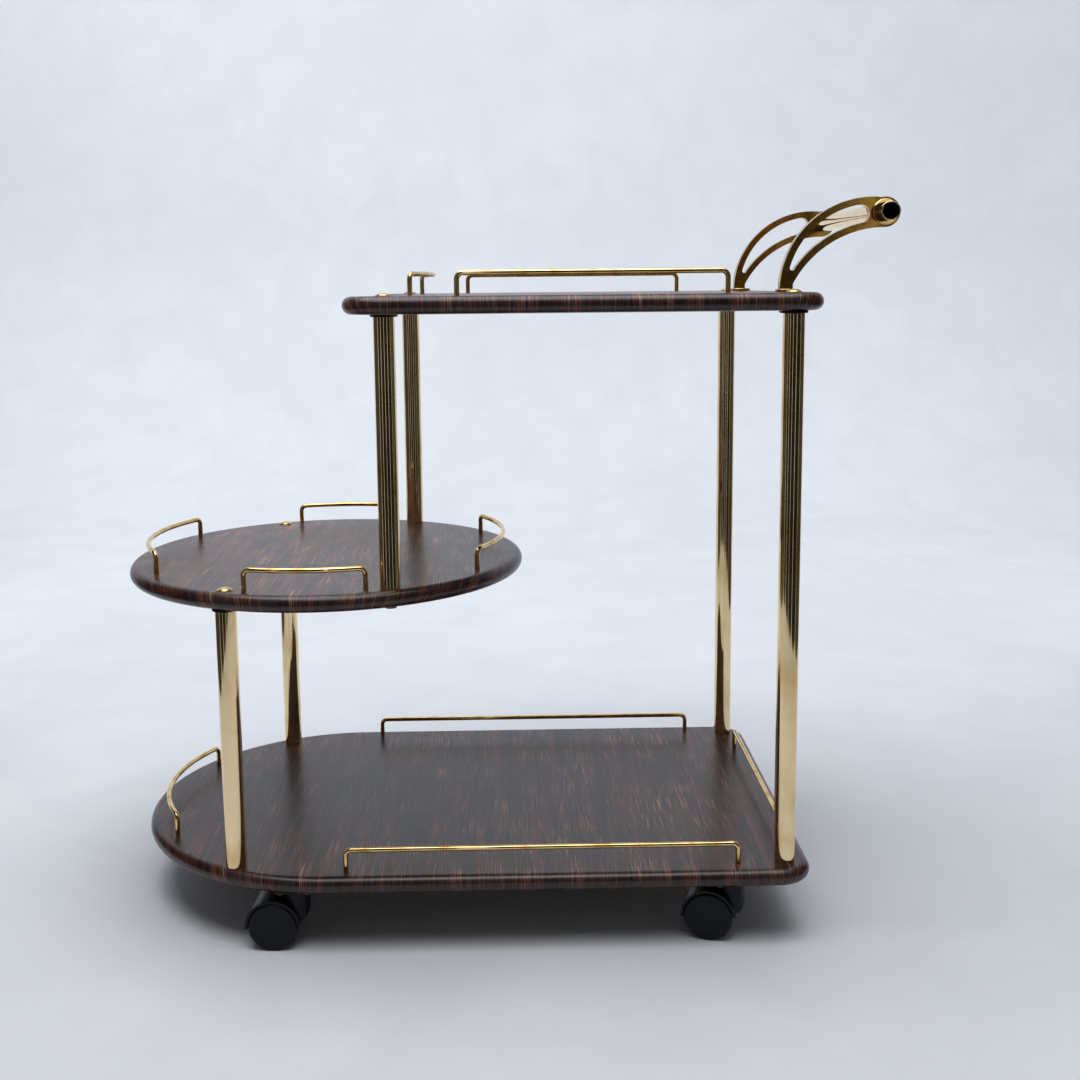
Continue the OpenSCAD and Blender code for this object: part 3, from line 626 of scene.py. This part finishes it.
def bent_rail(name, node, facing, bowed=True):
    """A rail that faces an angle, in degrees in plan. Its bar bows out that way, or is straight."""
    low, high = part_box(node)
    mid = (low + high) / 2
    sideways = abs(math.sin(math.radians(facing))) > 0.5
    size = high - low
    span, depth = (size.x, size.y) if sideways else (size.y, size.x)
    bend, rod = BEND_MM * MM, ROD_R
    chord, bow = span / 2 - rod, depth - 2 * rod
    rise = high.z - rod - low.z
    bm = bmesh.new()
    start = bmesh.ops.create_circle(bm, cap_ends=False, segments=ROD_SIDES, radius=rod)["verts"]
    ring = list(bm.edges)

    def carry_on(vec):
        """Carries the ring straight on."""
        grown = bmesh.ops.extrude_edge_only(bm, edges=ring)["geom"]
        bmesh.ops.translate(bm, verts=verts_of(grown), vec=vec)
        ring[:] = [e for e in edges_of(grown) if all(len(v.link_faces) <= 2 for v in e.verts)]

    def carry_round(centre, axis, angle, steps):
        """Carries the ring round a bend."""
        grown = bmesh.ops.spin(bm, geom=ring, cent=centre, axis=axis, angle=angle, steps=steps)
        ring[:] = edges_of(grown["geom_last"])

    if bowed:
        curve = (chord ** 2 + bow ** 2) / (2 * bow)
        turn_by = math.asin(chord / curve) - bend / curve
    else:
        curve, turn_by = 0, 0
    along = Vector((math.cos(turn_by), math.sin(turn_by), 0))
    foot = Vector((-chord, 0, 0))
    bmesh.ops.translate(bm, verts=start, vec=foot)
    carry_on((0, 0, rise - bend))
    up = foot + Vector((0, 0, rise - bend))
    carry_round(up + along * bend, (-along).cross(Vector((0, 0, 1))), math.pi / 2, BEND_STEPS)
    if bowed:
        carry_round((0, bow - curve, rise), (0, 0, 1), -2 * turn_by, BOW_STEPS)
    else:
        carry_on((2 * (chord - bend), 0, 0))
    back = Vector((along.x, -along.y, 0))
    down = Vector((chord, 0, rise - bend))
    carry_round(down - back * bend, (-back).cross(Vector((0, 0, 1))), math.pi / 2, BEND_STEPS)
    carry_on((0, 0, bend - rise))
    bmesh.ops.holes_fill(bm, edges=bm.edges, sides=ROD_SIDES)
    bmesh.ops.recalc_face_normals(bm, faces=bm.faces)
    turn = Matrix.Rotation(math.radians(facing - 90), 4, "Z")
    base = Vector((mid.x, mid.y, low.z)) - turn.to_3x3() @ Vector((0, bow / 2, 0))
    bmesh.ops.transform(bm, matrix=Matrix.Translation(base) @ turn, verts=bm.verts)
    made = piece(bm, name, [rod_brass], "trolley", node, sharp=60)
    corners = made.bound_box[0], made.bound_box[6]
    gap = max((Vector(b) - a).length for a, b in zip((low, high), corners))
    print(name, "mm:", [round(v / MM, 1) for v in made.dimensions],
          "off the CAD by", round(gap / MM, 2))


# %% All eleven rails
RAILS = [
    ("base_rail_front", 270, False), ("base_rail_back", 90, False),
    ("base_rail_cross", 0, False), ("base_rail_round", 180, True),
    ("round_rail_front", 270, True), ("round_rail_back", 90, True),
    ("round_rail_left", 180, True), ("round_rail_right", 0, True),
    ("top_rail_front", 270, False), ("top_rail_back", 90, False),
    ("top_rail_bowed", 0, True)]
for node, facing, bowed in RAILS:
    bent_rail(node.replace("rail", "rod_rail"), node, facing, bowed)

# %% [markdown]
# ## The push handle
# The arms are cast in one piece, so their outline comes straight from the CAD. Its
# mesh is loose triangles, so a copy is welded, its flat faces are joined up, and its
# rims are rounded as tumbling rounds a casting. The grip is tube with rolled lips.

# %% Cast arms
def welded_copy(node):
    """A CAD node's mesh with its triangles welded and its flat faces joined."""
    bm = bmesh.new()
    bm.from_mesh(frame["nodes"][node].data)
    bmesh.ops.remove_doubles(bm, verts=bm.verts, dist=0.004 * MM)
    bmesh.ops.dissolve_limit(bm, angle_limit=math.radians(0.6), verts=bm.verts, edges=bm.edges)
    return bm


def on_side(edge):
    """Whether an edge lies on one of the arm's flat sides."""
    return any(abs(f.normal.y) > 0.99 for f in edge.link_faces)


for side in ("front", "back"):
    bm = welded_copy(f"handle_arm_{side}")
    rounded = round_edges(bm, 1.1, 4, 40, on_side)
    made = piece(bm, f"cast_arm_{side}", [cast_brass], "trolley", f"handle_arm_{side}", sharp=50)
    print(made.name, "rims rounded:", rounded)

# %% Flanges, rings and grip tube
FLANGE_R, FLANGE_BORE, FLANGE_T = 12.5, 3.3, 3.0
RING_R, RING_BORE, RING_T = 13.2, 10.05, 3.0
RING_BEADS, BEAD_DEEP, BEAD_STEPS = 3, 0.35, 6
GRIP_WALL, LIP = 1.5, 0.5
# Past the plated end, the bore takes the finish painted near black as painted shade.
PLATED_WALL = 1.2     # mm of the tube's end that the plating covers

flanges = bmesh.new()
low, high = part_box("handle_flanges")
for y in (low.y + FLANGE_R * MM, high.y - FLANGE_R * MM):
    turned(flanges, [(FLANGE_BORE, 0), (FLANGE_R, 0), (FLANGE_R, FLANGE_T),
                     (FLANGE_BORE, FLANGE_T)],
           at((low.x + high.x) / 2, y, low.z), closed=True)
round_edges(flanges, 0.7, 4)
piece(flanges, "turned_flanges", [rod_brass], "trolley", "handle_flanges")

grip_mid = middle("grip_tube")
low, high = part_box("grip_tube")
tube_r, tube_half = (high.x - low.x) / 2 / MM, (high.y - low.y) / 2 / MM
ALONG_Y = Matrix.Rotation(math.pi / 2, 4, "X")
grip = bmesh.new()
turned(grip, [(tube_r, -tube_half), (tube_r, tube_half), (tube_r - GRIP_WALL, tube_half),
              (tube_r - GRIP_WALL, -tube_half)], at(*grip_mid) @ ALONG_Y, steps=96, closed=True)
round_edges(grip, LIP, 3)
# The bore's faces take the finish painted near black as painted shade inside the tube.
for face in grip.faces:
    spot = face.calc_center_median() - grip_mid
    face.material_index = int(math.hypot(spot.x, spot.z) < (tube_r - PLATED_WALL) * MM)
piece(grip, "grip_tube_with_lips", [grip_brass, bore_painted_shade], "trolley", "grip_tube")

rings = bmesh.new()
low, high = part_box("grip_rings")
for y in (low.y + RING_T / 2 * MM, high.y - RING_T / 2 * MM):
    bead = RING_T / RING_BEADS
    wave = [(RING_R - BEAD_DEEP * abs(math.cos(math.pi * h / bead)), h - RING_T / 2)
            for h in [bead * i / BEAD_STEPS for i in range(BEAD_STEPS * RING_BEADS + 1)]]
    turned(rings, [(RING_BORE, -RING_T / 2)] + wave + [(RING_BORE, RING_T / 2)],
           at(grip_mid.x, y, grip_mid.z) @ ALONG_Y, closed=True)
piece(rings, "beaded_rings", [rod_brass], "trolley", "grip_rings")
print("grip:", round(2 * tube_half, 1), "mm long")

# %% [markdown]
# ## Casters
# A wheel is a nylon disc with a softly rounded rim and a hollow behind its face, so it
# is turned too. Its joint in the record gives the axle line, and its box says on which
# side it sits. The hood is a moulding with a mudguard: it keeps the CAD's shape, and a
# bevel modifier gives its edges the small round that a moulding leaves the tool with.

# %% Wheels
WEB_HALF, WHEEL_W, POCKET = 8.4, 14.6, 5.0
HUB_R, HUB_BORE, BORE_L = 8.0, 3.05, 12.0      # the bore ends clear of the axle
TREAD_IN, RIM_ROUND = 4.5, 2.2
spins = {j["child"]: j for j in frame["joints"] if j["name"].startswith("spin")}

for name, joint in spins.items():
    axis, hub = Vector(joint["axis"]).normalized(), Vector(joint["pos_m"])
    side = math.copysign(1, (middle(name) - hub).dot(axis))
    low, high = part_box(name)
    r = (high.z - low.z) / 2 / MM
    place = Matrix.Translation(hub) @ (axis * side).to_track_quat("Z", "X").to_matrix().to_4x4()
    bm = bmesh.new()
    turned(bm, [(0, WHEEL_W), (r, WHEEL_W), (r, 0), (r - TREAD_IN, 0), (r - TREAD_IN, POCKET),
                (HUB_R, POCKET), (HUB_R, 0), (HUB_BORE, 0), (HUB_BORE, BORE_L), (0, BORE_L)],
           place @ at(0, 0, WEB_HALF * MM), steps=96)

    def outer_rim(edge, hub=hub, axis=axis, side=side):
        """Whether an edge lies on the wheel's outer face."""
        reach = [(v.co - hub).dot(axis * side) / MM - WEB_HALF for v in edge.verts]
        return min(reach) > WHEEL_W - 0.01

    round_edges(bm, RIM_ROUND, 6, 35, outer_rim)
    round_edges(bm, 0.5, 2, 50)
    piece(bm, name.replace("wheel", "nylon_wheel"), [nylon], name, name, sharp=60)
print("wheels:", len(spins), "of", round(2 * r, 1), "mm")

# %% Hoods
HOOD_ROUND = 0.5

for corner in ("left_front", "right_front", "left_back", "right_back"):
    hood = piece(welded_copy(f"hood_{corner}"), f"moulded_hood_{corner}", [nylon],
                 f"caster_{corner}", f"hood_{corner}", sharp=30)
    edge = hood.modifiers.new("moulded_edges", "BEVEL")
    edge.width, edge.segments, edge.limit_method = HOOD_ROUND * MM, 2, "ANGLE"
    edge.angle_limit = math.radians(35)
    hood.modifiers.move(1, 0)     # the bevel comes before the shading
print("hoods rounded")

# %% [markdown]
# ## Everything else
# Plates, pins, axles, screws, plugs and the bolts below keep their CAD shapes. They
# only need the right metal, and the record's slot says which one each node has.

# %% Dress the remaining CAD nodes
# The zinc parts take the zinc whose tone is painted darker as painted shade.
FINISHES = {"rosewood_board": foil, "polished_brass": rod_brass, "antique_brass": cast_brass,
            "black_plastic": collar_plastic, "black_nylon": nylon, "black_steel": black_zinc,
            "zinc_steel": zinc_with_painted_shade}
kept = [n for n, o in frame["nodes"].items() if not o.hide_render]
for name in kept:
    for s in frame["nodes"][name].material_slots:
        s.material = FINISHES[SLOT_OF[name]]
print("CAD nodes kept:", len(kept))
